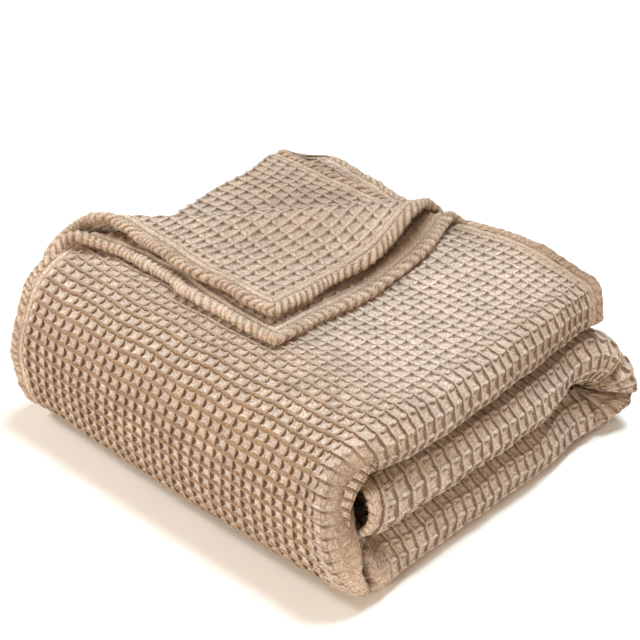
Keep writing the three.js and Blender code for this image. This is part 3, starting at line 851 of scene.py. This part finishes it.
def seamLines():  # the sewn rows as closed lines, with the way the cloth faces there
    points, edges, ways = [], [], []
    for inward in stitch["rows"]:
        u, v, out, _ = hemPath(inward + stitch["corner"])
        u, v = u - inward * np.cos(out), v - inward * np.sin(out)
        middle, facing, _ = looseWithFacing(u, v)
        first, count = len(points), len(u)
        points += list(middle + facing * (halfThickness(u, v) - stitch["sink"])[:, None])
        ways += list(facing)
        edges += [(first + n, first + (n + 1) % count) for n in range(count)]
    mesh = bpy.data.meshes.new("seam_lines")
    mesh.from_pydata((np.array(points) * mm).tolist(), edges, [])
    store(mesh, "facing", np.array(ways))
    return mesh


def makeStitches(material):
    tree, add, given = newTree("hem_stitches", stitch["sizes"])
    seam = add("GeometryNodeMeshToCurve", {"Mesh": given["Geometry"]})
    spaced = add("GeometryNodeResampleCurve", {"Curve": seam, "Length": given["Pitch"]}, mode="LENGTH")
    facing = add("GeometryNodeInputNamedAttribute", {"Name": "facing"}, data_type="FLOAT_VECTOR")
    turned = add("FunctionNodeAxesToRotation", [add("GeometryNodeInputTangent"), facing],
                 primary_axis="X", secondary_axis="Z")
    loop = add("GeometryNodeMeshUVSphere", {"Segments": 6, "Rings": 4, "Radius": 0.5})
    size = add(join, [given["Length"], given["Thread"], given["Thread"]])
    closeTree(add, spaced, loop, turned, size, material)
    return grow("hem_stitches", seamLines(), tree, stitch["sizes"])


def makeFibres(name, source, sizes, material):
    tree, add, given = newTree(name, sizes)
    where = add("GeometryNodeInputNamedAttribute", {"Name": "fuzz"}, data_type="FLOAT")
    dense = add(maths, [where, given["Density"]], operation="MULTIPLY")
    onFaces = {"Mesh": given["Geometry"], "Density": dense, "Seed": given["Seed"]}
    roots = add("GeometryNodeDistributePointsOnFaces", onFaces, distribute_method="RANDOM")
    back = add(maths, [given["Tilt"], -1.0], operation="MULTIPLY")
    low = add(join, [back, back, 0.0])
    high = add(join, [given["Tilt"], given["Tilt"], 2 * math.pi])
    angles = add("FunctionNodeRandomValue", {"Min": low, "Max": high, "Seed": given["Seed"]},
                 data_type="FLOAT_VECTOR")
    lean = add("FunctionNodeEulerToRotation", [angles])
    turned = add("FunctionNodeRotateRotation",
                 {"Rotation": roots.outputs["Rotation"], "Rotate By": lean}, rotation_space="LOCAL")
    share = add("FunctionNodeRandomValue",
                {2: fibre["shortest"], 3: fibre["longest"], "Seed": given["Seed"]}, data_type="FLOAT")
    tall = add(maths, [share.outputs[1], given["Length"]], operation="MULTIPLY")
    size = add(join, [given["Width"], given["Width"], tall])
    hair = add("GeometryNodeMeshCone",
               {"Vertices": 3, "Radius Top": 0.0, "Radius Bottom": 0.5, "Depth": 1.0}, fill_type="NONE")
    closeTree(add, roots, hair, turned, size, material)
    return grow(name, source, tree, sizes)


def mottled(add, size, detail, stops):  # a noise of this size, from one colour to the other
    place = add("ShaderNodeTexCoord").outputs["Object"]
    grain = add(noise, {"Vector": place, "Scale": 1 / size, "Detail": detail})
    colour = add(ramp, [grain])
    for element, (where, code) in zip(colour.color_ramp.elements, stops):
        element.position, element.color = where, srgb(code)
    return colour


def threadMaterial():
    # Spun polyester sewing thread, dyed a little darker than the cloth. It looks matt, half sunk in the pile.
    material, shader, add = newMaterial("polyester_thread", {"Roughness": 0.8})
    colour = mottled(add, stitch["twist"], 1.0, ((0, pile["root"]), (1, stitch["colour"])))
    fill(shader, {"Base Color": colour})
    return material


def fibreMaterial():
    # Brushed polyester fibre, the loose ends of the pile. Each is thin and pale, and a few are golden brown.
    material, shader, add = newMaterial("brushed_fibre", {"Roughness": 0.85, "Sheen Weight": 0.3})
    colour = mottled(add, fibre["tintSize"], 2.0, ((0.35, fibre["brown"]), (0.6, fibre["pale"])))
    lean = add("ShaderNodeAttribute", attribute_name="lean")  # of the cloth it stands on
    opened = add(split, [lean.outputs["Vector"]]).outputs["Z"]
    # each fibre takes the painted shade of the creases and gaps it stands in
    shaded = add(mixer, {0: opened, 6: colour, 7: srgb(pile["root"])}, data_type="RGBA")
    fill(shader, {"Base Color": shaded.outputs[2]})
    return material


fleece = fleeceMaterial()
cloth = makeCloth()
edgeRoll = makeHem()
for piece in (cloth, edgeRoll):
    piece.data.materials.append(fleece)
fuzzy = fibreMaterial()
clothFibres = makeFibres("cloth_fibres", cloth.data, fibre["cloth"], fuzzy)
hemFibres = makeFibres("hem_fibres", edgeRoll.data, fibre["hem"], fuzzy)
stitches = makeStitches(threadMaterial())
for piece in (cloth, edgeRoll, clothFibres, hemFibres, stitches):
    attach(piece, "root")
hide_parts("blanket")

# Camera at the photograph's angle, on a square picture
view = {
    "azimuth": 43.81, "elevation": 30.87, "away": 1.2831, "target": (-0.0330, 0.0205, 0.060),
    "lens": 90.0, "sensor": 36.0,
}

# Plain pale floor and soft light: a whitish key over the big bend, warm from the front, cool from above
studio = {
    "floor": "fbfaf8", "floorHalf": 6.0, "world": "ffe3c6", "worldStrength": 0.3, "aim": (0, 0, 0.06),
    "lights": [  # name, place, size, power, colour
        ("key", (-1.85, -1.05, 1.55), 0.45, 34, (1.0, 0.97, 0.94)),
        ("front", (0.65, -2.2, 0.95), 0.4, 26, (1.0, 0.9, 0.78)),
        ("low", (1.7, -0.8, 0.3), 0.4, 10, (1.0, 0.8, 0.58)),
        ("above", (0.1, 0.6, 2.3), 1.0, 78, (0.78, 0.92, 1.0)),
    ],
}


def placeCamera():
    (aCos, aSin), (eCos, eSin) = cosSin(view["azimuth"]), cosSin(view["elevation"])
    data = bpy.data.cameras.new("camera")
    data.lens, data.sensor_width = view["lens"], view["sensor"]
    camera = addObject("camera", data)
    back = Vector((aSin * eCos, -aCos * eCos, eSin))
    camera.location = Vector(view["target"]) + back * view["away"]
    camera.rotation_euler = back.to_track_quat("Z", "Y").to_euler()
    bpy.context.scene.camera = camera


def dressStudio():
    half = studio["floorHalf"]
    mesh = bpy.data.meshes.new("floor")
    corners = [(-half, -half, 0), (half, -half, 0), (half, half, 0), (-half, half, 0)]
    mesh.from_pydata(corners, [], [(0, 1, 2, 3)])
    paint = newMaterial("white_sweep", {"Base Color": srgb(studio["floor"]), "Roughness": 0.9})[0]
    mesh.materials.append(paint)
    floor = addObject("floor", mesh)
    world = bpy.data.worlds.new("studio")
    world.use_nodes = True
    glow = {"Color": srgb(studio["world"]), "Strength": studio["worldStrength"]}
    fill(world.node_tree.nodes["Background"], glow)
    bpy.context.scene.world = world
    for name, place, size, power, colour in studio["lights"]:
        data = bpy.data.lights.new(name, "AREA")
        data.size, data.energy, data.color = size, power, colour
        lamp = addObject(name, data)
        lamp.location = place
        lamp.rotation_euler = (Vector(place) - Vector(studio["aim"])).to_track_quat("Z", "Y").to_euler()
    bpy.context.scene.view_settings.view_transform = "Standard"
    print("studio: %d lights" % len(studio["lights"]))


placeCamera()
dressStudio()
